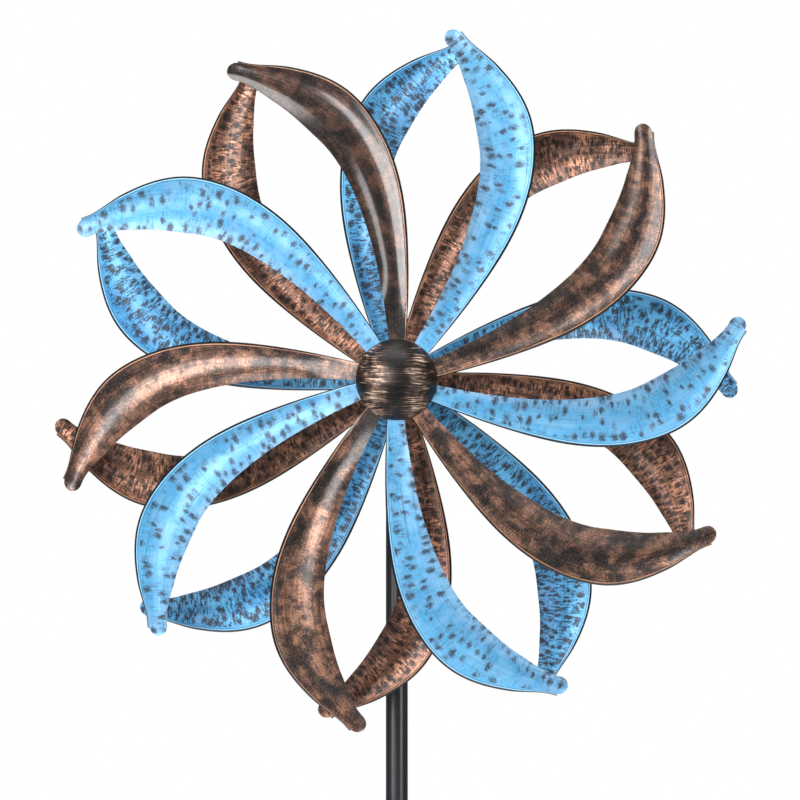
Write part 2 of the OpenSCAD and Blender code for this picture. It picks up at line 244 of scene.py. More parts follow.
class BladeMesh:
    """One blade along +X of its own frame, bending towards +Y, with +Z towards the wind. Its
    points lie in rows across it and come in pairs: one on the face, then the one behind it."""

    def __init__(self, lean, seed):
        rng = random.Random(seed)
        self.lean = lean
        self.waves = [(rng.uniform(-1, 1), rng.uniform(2, 7), rng.uniform(0, math.tau))
                      for _ in range(WAVES)]
        self.offset = (rng.uniform(0, 4), rng.uniform(0, 4))
        self.points, self.place, self.share = [], [], []
        self.rows = []
        self.faces, self.slots = [], []
        for x in (TAB_INNER, TAB_INNER + 2, TAB_INNER + 8):
            self.tab_row(x)
        travelled, last = 0.0, ROOT
        for t, tip_share in blade_rows():
            travelled += (centre_at(t) - last).length
            last = centre_at(t)
            self.trough_row(t, tip_share, travelled)
        self.join_rows()

    def pair(self, face, back, along, side, t, across):
        self.points += [face, back]
        self.place += [(self.offset[0] + along * MM, self.offset[1] + side * MM)] * 2
        self.share += [(t, across)] * 2

    def tab_row(self, x):
        """The flat tab that is clamped to the hub."""
        self.rows.append(len(self.points))
        taper = (x - TAB_INNER) / (TAB_OUTER - TAB_INNER)
        half = (TAB_INNER_W + (ROOT_W - TAB_INNER_W) * taper) / 2
        for q in FACE_SHARES:
            self.pair((x, -q * half, SHEET), (x, -q * half, 0), x - TAB_OUTER, q * half, 0, q)

    def trough_row(self, t, tip_share, travelled):
        self.rows.append(len(self.points))
        middle, along = centre_at(t), heading_at(t)
        outward = Vector((along[1], -along[0]))
        half = width_at(t) / 2
        rim = min(RIM_W, 0.2 * half)
        form = ramp(t, 0.01, 0.14)
        reach = (middle - ROOT).length
        drop = math.tan(math.radians(self.lean)) * reach * reach / (reach + LEAN_START)
        wave = sum(a * math.sin(f * math.tau * t + s) for a, f, s in self.waves)
        lift = form * UNEVEN * wave

        def height(side):
            local = half * (0.25 + 0.75 * tip_share)
            trough = local * TROUGH * (2 * (side / half) ** 2 - 1)
            return SHEET + form * (trough - side * math.tan(math.radians(PITCH)) + lift) - drop

        for q in FACE_SHARES:
            q = 0.8 * q + 0.2 * math.sin(q * math.pi / 2)
            side = q * (half - rim / 2) * tip_share - rim / 2
            x, y = middle + side * outward
            self.pair((x, y, height(side)), (x, y, height(side) - SHEET), travelled, side, t, q)
        if t > RIM_END:
            return
        for out, up in RIM_PLACES:
            side = half - rim + out * rim
            turn = math.radians(90 * ramp(out, 0.2, 0.9))
            x, y = middle + side * outward
            z = height(half - rim) + form * up * min(1, rim / 2)
            back_x, back_y = middle + (side - SHEET * math.sin(turn) * rim / RIM_W) * outward
            self.pair((x, y, z), (back_x, back_y, z - SHEET * math.cos(turn)), travelled, side, t,
                      1 + 0.5 * out)

    def quad(self, a, b, c, d, slot=0):
        self.faces.append([a, b, c, d])
        self.slots.append(slot)

    def join_rows(self):
        """Closes the sheet. Where a row is wider than the next, its outer edge is closed too."""
        ends = self.rows + [len(self.points)]
        for a, b, c in zip(ends, ends[1:], ends[2:] + [None]):
            wide = (b - a) // 2 - 1
            following = (c - b) // 2 - 1 if c else 0
            shared = min(wide, following)
            for j in range(shared):
                self.quad(a + 2 * j, a + 2 * j + 2, b + 2 * j + 2, b + 2 * j)
                self.quad(a + 2 * j + 3, a + 2 * j + 1, b + 2 * j + 1, b + 2 * j + 3, 1)
            if c:
                self.quad(a + 1, a, b, b + 1)
                self.quad(a + 2 * shared, a + 2 * shared + 1, b + 2 * shared + 1, b + 2 * shared)
            for j in range(shared, wide):
                self.quad(a + 2 * j + 2, a + 2 * j, a + 2 * j + 1, a + 2 * j + 3)
            for j in range(shared, following):
                self.quad(b + 2 * j, b + 2 * j + 2, b + 2 * j + 3, b + 2 * j + 1)
        for j in range(FACE_STEPS):
            self.quad(2 * j, 2 * j + 2, 2 * j + 3, 2 * j + 1)


# ---- Turned and hexagonal pieces --------------------------------------------------------


def turned(profile, steps=64, closed=True):
    """Turns the profile round +Z. A point is (radius, height), or (half across flats, height,
    chamfer) for a hexagon whose corners are raised by chamfer for each mm beyond the flats."""
    points, faces, rings = [], [], []
    for r, z, *chamfer in profile:
        if r < 1e-9:
            rings.append([len(points)])
            points.append((0, 0, z))
            continue
        rings.append(list(range(len(points), len(points) + steps)))
        for i in range(steps):
            a = math.tau * i / steps
            far = r / math.cos(a % (math.pi / 3) - math.pi / 6) if chamfer else r
            lift = chamfer[0] * (far - r) if chamfer else 0
            points.append((far * math.cos(a), far * math.sin(a), z + lift))
    pairs = list(zip(rings, rings[1:])) + ([(rings[-1], rings[0])] if closed else [])
    for low, high in pairs:
        for i in range(steps):
            j = (i + 1) % steps
            corners = [low[i % len(low)], low[j % len(low)], high[j % len(high)], high[i % len(high)]]
            corners = list(dict.fromkeys(corners))
            if len(corners) > 2:
                faces.append(corners)
    return points, faces


def band_slots(faces, steps, bands):
    """Material 1 for the numbered bands of a turned piece, and 0 for the rest."""
    return [int(i // steps in bands) for i in range(len(faces))]


def ring_profile(bore, radius, low, high, edge=0.3):
    """The closed section of a plain ring with its four edges broken."""
    return [(bore + edge, low), (radius - edge, low), (radius, low + edge), (radius, high - edge),
            (radius - edge, high), (bore + edge, high), (bore, high - edge), (bore, low + edge)]


def thread(radius, depth, low, high, pitch):
    """Profile points that zigzag between a thread's crests and its roots."""
    turns = int((high - low) / pitch)
    return [(radius - depth * (i % 2), low + i * pitch / 2) for i in range(2 * turns + 1)]


# The M4 pan-head screws and nuts that hold the blades and the pole's sections.
SCREW_R = 1.98
SCREW_PITCH = 0.7
THREAD_START = 0.3
THREAD_END = 3.8
SCREW_HEAD_R = 3.5
SCREW_HEAD_H = 2.4
SOCKET_R = 1.3
NUT_FLAT = 7
NUT_BORE = 2


def screw_profile(tail, seat):
    """A pan-head screw along +Z from its tail to its head, with a hexagonal socket."""
    top = seat + SCREW_HEAD_H
    return ([(0, tail), (SCREW_R - 0.35, tail)]
            + thread(SCREW_R, 0.22, tail + THREAD_START, tail + THREAD_END, SCREW_PITCH)
            + [(SCREW_R, seat), (SCREW_HEAD_R, seat), (SCREW_HEAD_R, seat + 0.35 * SCREW_HEAD_H),
               (SCREW_HEAD_R * 0.93, seat + 0.65 * SCREW_HEAD_H),
               (SCREW_HEAD_R * 0.76, seat + 0.88 * SCREW_HEAD_H), (SCREW_HEAD_R * 0.55, top),
               (SOCKET_R * 1.18, top), (SOCKET_R, top - 0.15, 0),
               (SOCKET_R, top - 0.6 * SCREW_HEAD_H, 0), (0, top - 0.75 * SCREW_HEAD_H)])


def nut_profile(low, high):
    half = NUT_FLAT / 2
    return [(NUT_BORE + 0.4, low), (half * 0.93, low), (half, low + 0.15, 0.55),
            (half, high - 0.15, -0.55), (half * 0.93, high), (NUT_BORE + 0.4, high),
            (NUT_BORE, high - 0.4), (NUT_BORE, low + 0.4)]


def weld_bead(radius, bead, ripples, steps=120, around=10):
    """A rippled bead round +Z."""
    points, faces = [], []
    for i in range(steps):
        a = math.tau * i / steps
        thick = bead * (0.82 + 0.18 * abs(math.sin(ripples * a / 2)))
        for j in range(around):
            b = math.tau * j / around
            r = radius + thick * math.cos(b)
            points.append((r * math.cos(a), r * math.sin(a), thick * math.sin(b)))
            k, m = (i + 1) % steps, (j + 1) % around
            faces.append([i * around + j, k * around + j, k * around + m, i * around + m])
    return points, faces


def along_axle(node, origin=0.0):
    """Where a node starts and ends along the axle, measured forward from origin, and its radius."""
    low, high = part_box(node)
    return -high.y / MM - origin, -low.y / MM - origin, (high.x - low.x) / 2 / MM


def up_pole(node):
    """The heights at which a node starts and ends, and its radius."""
    low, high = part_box(node)
    return low.z / MM, high.z / MM, high.x / MM


# ---- Node building ----------------------------------------------------------------------


def srgb(r, g, b):
    def one(c):
        c /= 255
        return c / 12.92 if c <= 0.04045 else ((c + 0.055) / 1.055) ** 2.4
    return (one(r), one(g), one(b), 1)


class Nodes:
    """Short calls for a material's node tree. Most values may be a number, a colour or a socket."""

    def __init__(self, name, **fixed):
        self.mat = bpy.data.materials.new(name)
        self.mat.use_nodes = True
        self.tree = self.mat.node_tree
        self.tree.nodes.clear()
        self.shader = self.new("ShaderNodeBsdfPrincipled")
        out = self.new("ShaderNodeOutputMaterial")
        self.tree.links.new(self.shader.outputs[0], out.inputs[0])
        for label, value in fixed.items():
            self.shader.inputs[label.replace("_", " ")].default_value = value

    def new(self, kind, **props):
        node = self.tree.nodes.new(kind)
        for k, v in props.items():
            setattr(node, k, v)
        return node

    def put(self, socket, value):
        if isinstance(value, bpy.types.NodeSocket):
            self.tree.links.new(value, socket)
        else:
            socket.default_value = value

    def uv(self, name):
        return self.new("ShaderNodeUVMap", uv_map=name).outputs[0]

    def object(self):
        return self.new("ShaderNodeTexCoord").outputs["Object"]

    def scaled(self, vector, scale):
        node = self.new("ShaderNodeMapping")
        self.put(node.inputs["Vector"], vector)
        node.inputs["Scale"].default_value = scale if isinstance(scale, tuple) else (scale,) * 3
        return node.outputs[0]

    def noise(self, vector, scale, detail=2.0, rough=0.5, distort=0.0):
        node = self.new("ShaderNodeTexNoise")
        self.put(node.inputs["Vector"], self.scaled(vector, scale))
        node.inputs["Scale"].default_value = 1
        node.inputs["Detail"].default_value = detail
        node.inputs["Roughness"].default_value = rough
        node.inputs["Distortion"].default_value = distort
        return node.outputs["Fac"]

    def wobble(self, vector, scale, amount):
        """The vector, moved about by a noise by up to about half of amount."""
        node = self.new("ShaderNodeTexNoise")
        self.put(node.inputs["Vector"], vector)
        node.inputs["Scale"].default_value = scale
        node.inputs["Detail"].default_value = 2
        centred = self.vector("SUBTRACT", node.outputs["Color"], (0.5, 0.5, 0.5))
        return self.vector("ADD", vector, self.vector("MULTIPLY", centred, (amount,) * 3))

    def cells(self, vector, scale, loose):
        """Distance to the nearest of many scattered points, and two random numbers for it."""
        node = self.new("ShaderNodeTexVoronoi", voronoi_dimensions="2D")
        self.put(node.inputs["Vector"], self.scaled(vector, scale))
        node.inputs["Scale"].default_value = 1
        node.inputs["Randomness"].default_value = loose
        split = self.new("ShaderNodeSeparateColor")
        self.put(split.inputs[0], node.outputs["Color"])
        return node.outputs["Distance"], split.outputs[0], split.outputs[1]

    def vector(self, kind, a, b):
        node = self.new("ShaderNodeVectorMath", operation=kind)
        self.put(node.inputs[0], a)
        self.put(node.inputs[1], b)
        return node.outputs[0]

    def split(self, vector):
        node = self.new("ShaderNodeSeparateXYZ")
        self.put(node.inputs[0], vector)
        return node.outputs

    def math(self, kind, a, b=0.0, clamp=False):
        node = self.new("ShaderNodeMath", operation=kind, use_clamp=clamp)
        self.put(node.inputs[0], a)
        self.put(node.inputs[1], b)
        return node.outputs[0]

    def times(self, *values):
        total = values[0]
        for v in values[1:]:
            total = self.math("MULTIPLY", total, v)
        return total

    def plus(self, *values):
        total = values[0]
        for v in values[1:]:
            total = self.math("ADD", total, v)
        return total

    def span(self, value, low, high, to_low=0.0, to_high=1.0):
        """A smooth step from to_low, where value is low, to to_high, where it is high."""
        node = self.new("ShaderNodeMapRange", interpolation_type="SMOOTHSTEP")
        ends = {"From Min": low, "From Max": high, "To Min": to_low, "To Max": to_high}
        self.put(node.inputs["Value"], value)
        for label, v in ends.items():
            self.put(node.inputs[label], v)
        return node.outputs[0]

    def mix(self, share, a, b):
        node = self.new("ShaderNodeMix", data_type="RGBA")
        self.put(node.inputs[0], share)
        self.put(node.inputs[6], a)
        self.put(node.inputs[7], b)
        return node.outputs[2]

    def bump(self, height, strength, depth):
        node = self.new("ShaderNodeBump")
        node.inputs["Strength"].default_value = strength
        node.inputs["Distance"].default_value = depth
        self.put(node.inputs["Height"], height)
        self.put(self.shader.inputs["Normal"], node.outputs[0])

    def finish(self, colour, roughness):
        self.put(self.shader.inputs["Base Color"], colour)
        self.put(self.shader.inputs["Roughness"], roughness)
        return self.mat


# ---- Blade paint ------------------------------------------------------------------------

# How each wheel is dabbed: cells for each metre along and across, about what share of them has a
# dab, the streaks' strength and where they set in, and the strength of the specks and the dabs.
DABS = {
    "front": dict(cells=(128, 84, 1), wanted=0.5, streaks=0.42, streak_range=(0.3, 0.9),
                  speck=0.42, gain=1.3),
    "rear": dict(cells=(152, 96, 1), wanted=0.95, streaks=0.85, streak_range=(0.0, 0.6),
                 speck=0.62, gain=1.6)}


class BladePaint(Nodes):
    """Hand-dabbed paint over sheet steel. Place is in metres along and across the blade; Share
    is how far along it is, and how far across: -1 at the inner edge, 1 at the rim's crease."""

    def __init__(self, name, wheel, **fixed):
        super().__init__(name, Specular_IOR_Level=0.5, **fixed)
        self.place = self.uv("Place")
        self.along, self.across = self.split(self.uv("Share"))[:2]
        self.brushed = self.patches((12, 900, 1), 3, 0.6, low=0.36, high=0.64)
        self.crossed = self.patches((560, 110, 1), 3, 0.6, low=0.38, high=0.66)
        self.grain = self.patches((820, 480, 1), 3, 0.65, low=0.36, high=0.62)
        self.broad = self.patches((16, 34, 1), 2, 0.5)
        self.cloud = self.patches((70, 75, 1), 3, 0.55, 0.4)
        self.smoke = self.patches((24, 36, 1), 4, 0.6, 0.3, low=0.34, high=0.64)
        self.scratch = self.times(self.patches((7, 520, 1), 1, 0.4, low=0.65, high=0.73), self.broad)
        self.lay_dabs(**DABS[wheel])

    def patches(self, *settings, low=0.35, high=0.65):
        return self.span(self.noise(self.place, *settings), low, high)

    def lay_dabs(self, cells, wanted, streaks, streak_range, speck, gain):
        """Dabs lie in loose rows across the blade, thickest near its ends and its inner edge.
        Each is dark in the middle and fades outward; fainter streaks run across between them,
        and a thin wash of ink lies round the dabs as a halo."""
        gap, pick, size = self.cells(self.wobble(self.place, 190, 0.005), cells, 0.9)
        clear_rim = self.span(self.across, 0.98, 0.88)
        reach = self.span(size, 0, 1, 0.38, 0.7)
        ends = self.math("MAXIMUM", self.span(self.along, 0.72, 0.95), self.span(self.along, 0.3, 0.05))
        wanted = self.plus(wanted, self.times(ends, 0.3), self.times(self.broad, 0.3),
                           self.times(self.span(self.across, -0.3, -0.8), 0.15))
        off_middle = self.math("ABSOLUTE", self.across)
        reach = self.times(reach, self.span(off_middle, 0.0, 0.9, 0.85, 1.1))
        soft = self.times(self.span(gap, reach, 0.0),
                          self.span(pick, self.plus(wanted, 0.2), self.plus(wanted, -0.3)))
        soft = self.times(soft, self.plus(0.85, self.times(self.crossed, 0.35)))
        across = self.times(self.crossed, self.span(self.cloud, *streak_range), streaks)
        dense = self.math("MAXIMUM", soft, across)
        specks = self.times(self.plus(self.grain, -0.55), self.span(dense, 0.05, 0.4, 0.08, speck))
        strength = self.math("MULTIPLY", self.plus(dense, specks, -0.1), gain, True)
        self.dabs = self.times(strength, clear_rim)
        near = self.span(pick, self.plus(wanted, 0.35), self.plus(wanted, -0.15))
        self.halo = self.times(self.span(gap, 0.9, 0.2), near, self.crossed, clear_rim)

    def finish_edge(self, colour, glint, dark, brightening):
        """Paints a highlight along the rolled bead on the outer edge and painted shade in the crease before
        it, and leaves the turned rim dark.
        """
        bead = self.times(self.span(self.across, 1.03, 1.09), self.span(self.across, 1.26, 1.2))
        crease_shade = self.times(self.span(self.across, 0.985, 1.01), self.span(self.across, 1.08, 1.03))
        # Painted shade: the crease before the bead is darkened.
        colour = self.mix(self.times(crease_shade, 0.75), colour, dark)
        # Painted highlight: the bead is painted in the glint colour, more where the brushing runs.
        bead = self.times(bead, self.plus(brightening, self.times(self.brushed, 0.4)))
        colour = self.mix(bead, colour, glint)
        colour = self.mix(self.span(self.across, 1.2, 1.25), colour, dark)
        rough = self.plus(0.3, self.times(self.brushed, 0.08), self.times(self.dabs, 0.12),
                          self.times(self.cloud, 0.06))
        self.bump(self.plus(self.times(self.brushed, 0.25), self.times(self.grain, 0.2),
                            self.times(self.dabs, 0.5), self.times(self.smoke, 2.0)), 0.3, 0.0005)
        return self.finish(colour, rough)


def blue_paint(wheel, deep, light, halo, sheen_share, dab_share):
    n = BladePaint(f"{wheel}_blue_paint", wheel, Metallic=0.12, Coat_Weight=0.12, Coat_Roughness=0.3)
    # The first colour here is the painted sheen's tint; ink is for the dabs and scratches.
    sheen_tint, ink = srgb(158, 190, 218), srgb(26, 30, 42)
    colour = n.mix(n.plus(n.times(n.broad, 0.55), n.times(n.brushed, 0.45)), deep, light)
    # Painted sheen: a pale lavender-blue laid along the inner edge, near the tip and in loose patches,
    # standing in for light reflected off the paint.
    painted_sheen = n.plus(n.times(n.span(n.across, -0.3, -1.0), 0.5), n.times(n.span(n.cloud, 0.6, 0.0), 0.25),
                  n.times(n.span(n.along, 0.86, 0.98), 0.3))
    painted_sheen = n.times(painted_sheen, n.plus(0.6, n.times(n.brushed, 0.4)), sheen_share)
    colour = n.mix(painted_sheen, colour, sheen_tint)
    colour = n.mix(n.times(n.crossed, 0.16), colour, deep)
    colour = n.mix(n.times(n.halo, 0.45), colour, halo)
    colour = n.mix(n.times(n.scratch, 0.5), colour, ink)
    colour = n.mix(n.times(n.dabs, dab_share), colour, ink)
    # The light blue glint colour is a painted highlight on the bead.
    return n.finish_edge(colour, srgb(150, 208, 246), srgb(14, 18, 24), 0.55)


def bronze_paint(name, wheel, bright, mid, ink, charcoal, smoke_share, dab_share, **coat):
    n = BladePaint(name, wheel, Metallic=0.7, **coat)
    rub = n.plus(n.times(n.brushed, 0.3), n.times(n.grain, 0.3), n.times(n.cloud, 0.4))
    colour = n.mix(n.span(rub, 0.25, 0.95), mid, bright)
    colour = n.mix(n.times(n.crossed, 0.2), colour, ink)
    tone = n.patches((7, 14, 1), 1, 0.4)
    field = n.plus(n.times(n.smoke, 0.5), n.times(n.cloud, 0.25), n.times(n.grain, 0.12),
                   n.times(tone, 0.3), -0.1)
    burnt = n.mix(n.span(n.grain, 0.1, 0.9), ink, charcoal)
    colour = n.mix(n.times(n.span(field, 0.85, 0.15), smoke_share), colour, burnt)
    colour = n.mix(n.times(n.scratch, 0.5), colour, ink)
    colour = n.mix(n.times(n.dabs, dab_share), colour, ink)
    # The copper glint colour is a painted highlight on the bead.
    return n.finish_edge(colour, srgb(206, 152, 120), srgb(22, 17, 16), 0.4)


def back_paint(name):
    n = Nodes(name, Metallic=0.4)
    place = n.uv("Place")
    brushed = n.noise(place, (90, 620, 1), 3, 0.6)
    cloud = n.noise(place, (40, 60, 1), 4, 0.6)
    fine = n.noise(place, (900, 900, 1), 2, 0.6)
    colour = n.mix(n.span(cloud, 0.35, 0.7), srgb(42, 36, 34), srgb(82, 61, 50))
    colour = n.mix(n.times(n.span(brushed, 0.52, 0.75), 0.6), colour, srgb(170, 120, 92))
    n.bump(n.plus(n.times(brushed, 0.4), n.times(fine, 0.4)), 0.2, 0.0004)
    return n.finish(colour, n.plus(0.42, n.times(cloud, 0.15)))


SOOT = srgb(24, 20, 20)
CHARCOAL = srgb(56, 51, 50)
paints = {
    ("front", True): blue_paint("front", srgb(64, 143, 190), srgb(94, 171, 213), srgb(108, 124, 152),
                                1.0, 0.88),
    ("front", False): bronze_paint("front_bronze_paint", "front", srgb(180, 131, 106), srgb(90, 67, 57),
                                   SOOT, CHARCOAL, 0.95, 0.6, Coat_Weight=0.6, Coat_Roughness=0.2),
    ("rear", True): blue_paint("rear", srgb(46, 128, 186), srgb(98, 188, 236), srgb(40, 84, 128),
                               0.6, 0.95),
    ("rear", False): bronze_paint("rear_bronze_paint", "rear", srgb(226, 162, 128), srgb(118, 82, 68),
                                  SOOT, CHARCOAL, 0.55, 0.95, Coat_Weight=0.3, Coat_Roughness=0.3)}
# One front blade is darker and glossier than the rest.
DARK_BLADE = "front_blade_02"
dark_paint = bronze_paint("dark_bronze_paint", "front", srgb(112, 77, 60), srgb(42, 30, 27),
                          srgb(12, 10, 10), srgb(24, 21, 21), 0.95, 0.6,
                          Coat_Weight=1.0, Coat_IOR=1.62, Coat_Roughness=0.16)
blade_back = back_paint("blade_back_paint")


# ---- Materials of the other pieces ------------------------------------------------------


def dome_patina():
    """Dark bronze with bright scratches from side to side, most of them left and right of the middle. There
    and lower down they are brighter: partly scratches, partly painted highlight, and the brightest are
    painted glints."""
    n = Nodes("dome_patina", Metallic=0.6, Coat_Weight=0.15, Coat_Roughness=0.25)
    place = n.object()
    x, _, z = n.split(place)
    streaks = n.noise(n.wobble(place, 34, 0.009), (34, 34, 1150), 5, 0.75)
    cloud = n.noise(place, (70, 70, 60), 3, 0.6)
    fine = n.noise(place, 900, 2, 0.6)
    off_middle = n.math("ABSOLUTE", n.plus(x, 0.001))
    # Painted highlight: the scratches are raised left and right of the middle, where the dome catches the
    # light.
    side = n.times(n.span(off_middle, 0.0, 0.02), n.span(off_middle, 0.036, 0.02))
    height = n.plus(z, -centres["front"].z)
    # Painted highlight: a little more brightening lower down.
    low = n.span(height, 0.02, -0.015)
    brightening = n.plus(streaks, n.times(side, 0.15), -0.03, n.times(low, 0.03),
                    n.times(n.plus(cloud, -0.5), 0.4))
    colour = n.mix(n.span(brightening, 0.5, 0.68), srgb(14, 11, 12), srgb(84, 62, 52))
    # Painted glints: the brightest scratches take a near-white copper.
    colour = n.mix(n.span(brightening, 0.64, 0.78), colour, srgb(255, 222, 196))
    rough = n.plus(0.34, n.times(streaks, 0.16), n.times(cloud, 0.1))
    n.bump(n.plus(n.times(streaks, 0.6), n.times(fine, 0.3)), 0.25, 0.0004)
    return n.finish(colour, rough)


def black_coat(name, rough, worn):
    """Gloss powder coat. The worn one is rubbed to metal and soiled towards the ground."""
    n = Nodes(name, Specular_IOR_Level=0.85)
    place = n.object()
    peel = n.noise(place, 900, 2, 0.5)
    dust = n.noise(place, (70, 70, 18), 4, 0.6)
    colour = n.mix(n.span(dust, 0.4, 0.7), srgb(15, 16, 20), srgb(24, 25, 31))
    if worn:
        z = n.split(place)[2]
        spots = n.span(n.noise(place, (260, 260, 60), 4, 0.65), 0.48, 0.6)
        rub = n.times(n.span(z, -0.06, -0.17), spots)
        colour = n.mix(n.times(rub, 0.85), colour, srgb(128, 122, 116))
        spots = n.span(n.noise(place, 120, 3, 0.6), 0.52, 0.68)
        soil = n.times(n.span(z, 0.01, -0.05), spots)
        colour = n.mix(n.times(soil, 0.5), colour, srgb(92, 78, 64))
    n.bump(n.plus(peel, n.times(dust, 0.5)), 0.12, 0.0003)
    return n.finish(colour, n.plus(rough, n.times(dust, 0.12)))


def bright_metal(name, tint, rough):
    n = Nodes(name, Metallic=1.0)
    place = n.object()
    cloud = n.noise(place, 140, 4, 0.6)
    fine = n.noise(place, 1600, 2, 0.6)
    stain = n.span(n.noise(place, 320, 3, 0.6), 0.6, 0.75)
    dull = srgb(*[int(c * 0.8) for c in tint])
    colour = n.mix(n.span(cloud, 0.35, 0.7), srgb(*tint), dull)
    colour = n.mix(n.times(stain, 0.35), colour, srgb(120, 104, 84))
    n.bump(n.plus(n.times(fine, 0.5), n.times(cloud, 0.5)), 0.15, 0.0002)
    return n.finish(colour, n.plus(rough, n.times(cloud, 0.2)))


def cap_plastic():
    n = Nodes("cap_plastic")
    place = n.object()
    grain = n.noise(place, 1400, 2, 0.7)
    cloud = n.noise(place, 90, 3, 0.6)
    colour = n.mix(cloud, srgb(24, 24, 25), srgb(36, 36, 38))
    n.bump(grain, 0.3, 0.0002)
    return n.finish(colour, n.plus(0.5, n.times(cloud, 0.15)))


coat = black_coat("pole_black_coat", 0.25, worn=False)
fork_coat = black_coat("fork_black_coat", 0.42, worn=True)
zinc = bright_metal("zinc_plate", (205, 207, 210), 0.22)
steel = bright_metal("bearing_steel", (180, 182, 186), 0.16)
rubber = cap_plastic()
patina = dome_patina()


# ---- Blades -----------------------------------------------------------------------------


def add_blade(wheel, k):
    """Even blades are blue and odd ones bronze. The rear wheel's bend the other way."""
    mesh = BladeMesh(LEAN[wheel][k], 100 + k if wheel == "front" else k)
    move = on_axle(centres[wheel]) @ spun(blade_turn(wheel, k))
    faces = mesh.faces
    if wheel == "rear":
        move = move @ Matrix.Diagonal((1, -1, 1, 1))
        faces = [f[::-1] for f in faces]
    shape = Shape()
    shape.add(mesh.points, faces, move, mesh.slots, mesh.place, mesh.share)
    node = f"{wheel}_blade_{k + 1:02d}"
    blue = k % 2 == 0
    paint = dark_paint if node == DARK_BLADE else paints[wheel, blue]
    piece = shape.build(f"{node}_sheet", [paint, blade_back], f"{wheel}_wheel", 50)
    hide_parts(node)


for wheel in WHEELS:
    for k in range(BLADES):
        add_blade(wheel, k)

# ---- Hubs -------------------------------------------------------------------------------

# The bearings, the dome and the axle's fastenings are measured forward from the pole's middle.
axle = on_axle((0, 0, centres["front"].z))


def add_hub(wheel, place, origin):
    """A turned spool with a disc behind the blades' tabs, and the ring that clamps them."""
    back, front, disc = along_axle(f"{wheel}_hub", origin)
    profile = [
        (11.4, back), (13.4, back), (14, back + 0.6), (14, -4.4), (14.4, -3.6), (15.2, -2.9),
        (16.2, -2.5), (disc - 0.5, -2.5), (disc, -2), (disc, -0.4), (disc - 0.4, 0), (14.3, 0),
        (14, 0.3), (14, front - 0.6), (13.4, front), (11.4, front), (11.02, front - 0.4),
        (11.02, front - 7), (9.5, front - 7), (9.5, back + 7), (11.02, back + 7), (11.02, back + 0.4)]
    make(f"{wheel}_hub_turned", [(*turned(profile), place)], [coat], f"{wheel}_wheel",
         [f"{wheel}_hub"])
    low, high, radius = along_axle(f"{wheel}_clamp_ring", origin)
    make(f"{wheel}_clamp_plate", [(*turned(ring_profile(16, radius, low, high, 0.35)), place)], [coat],
         f"{wheel}_wheel", [f"{wheel}_clamp_ring"])


def add_blade_screws(wheel, place, origin):
    """A screw and a nut for each blade, each turned by chance."""
    spots = [place @ spun(blade_turn(wheel, k)) @ shifted(SCREW_CIRCLE) for k in range(BLADES)]
    twists = [spun(random.Random(i + len(wheel)).uniform(0, 60)) for i in range(BLADES)]
    low, high, _ = along_axle(f"{wheel}_blade_screws", origin)
    screw = turned(screw_profile(low, high - SCREW_HEAD_H), 36)
    make(f"{wheel}_blade_pan_screws", [(*screw, s @ t) for s, t in zip(spots, twists)], [zinc],
         f"{wheel}_wheel", [f"{wheel}_blade_screws"])
    low, high, _ = along_axle(f"{wheel}_blade_nuts", origin)
    nut = turned(nut_profile(low, high), 36)
    make(f"{wheel}_blade_hex_nuts", [(*nut, s @ t) for s, t in zip(spots, reversed(twists))], [zinc],
         f"{wheel}_wheel", [f"{wheel}_blade_nuts"])


def add_bearing(wheel, end):
    """An inner and an outer ring with a rubber seal let in between them on either side."""
    node = f"{wheel}_wheel_{end}_bearing"
    low, high, radius = along_axle(node)
    profile = [
        (4.05, low + 0.3), (4.35, low), (5.8, low), (6, low + 0.4), (9.2, low + 0.4), (9.4, low),
        (radius - 0.3, low), (radius, low + 0.3), (radius, high - 0.3), (radius - 0.3, high),
        (9.4, high), (9.2, high - 0.4), (6, high - 0.4), (5.8, high), (4.35, high), (4.05, high - 0.3)]
    points, faces = turned(profile)
    make(f"{wheel}_{end}_ball_bearing", [(points, faces, axle, band_slots(faces, 64, (3, 11)))],
         [steel, rubber], f"{wheel}_wheel", [node])


for wheel in WHEELS:
    place, origin = on_axle(centres[wheel]), -centres[wheel].y / MM
    add_hub(wheel, place, origin)
    add_blade_screws(wheel, place, origin)
    for end in ("back", "front"):
        add_bearing(wheel, end)


def add_dome():
    """A pressed cap whose rim is rolled, on a sleeve that fits over the front hub."""
    low, high, radius = along_axle("hub_dome")
    ball = (radius ** 2 + (high - low) ** 2) / (2 * (high - low))
    reach = math.asin((radius - 0.7) / ball)
    angles = [reach * (1 - i / 26) for i in range(27)]
    outer = [(ball * math.sin(a), high - ball + ball * math.cos(a)) for a in angles]
    inner = [(r * (1 - 1 / ball), z - 1) for r, z in outer]
    rim = [(radius - 1.2, low + 0.1), (radius - 0.5, low), (radius - 0.08, low + 0.4),
           (radius - 0.1, low + 0.9), (radius - 0.55, low + 1.25)]
    cap = turned([(0, high - 1)] + inner[::-1][1:] + rim + outer[:-1] + [(0, high)], 128, closed=False)
    sleeve = turned(ring_profile(14.05, 15.5, low + 2.5, high - 4))
    make("hub_dome_cap", [(*cap, axle), (*sleeve, axle)], [patina], "front_wheel", ["hub_dome"],
         60)


add_dome()

# ---- Axle fastenings: an M8 bolt, a spacer tube, washers and a lock nut -----------------

AXLE_R = 4
AXLE_BORE = 4.2
AXLE_FLAT = 6.5
WASHER_R = 8
WASHER_H = 1.6


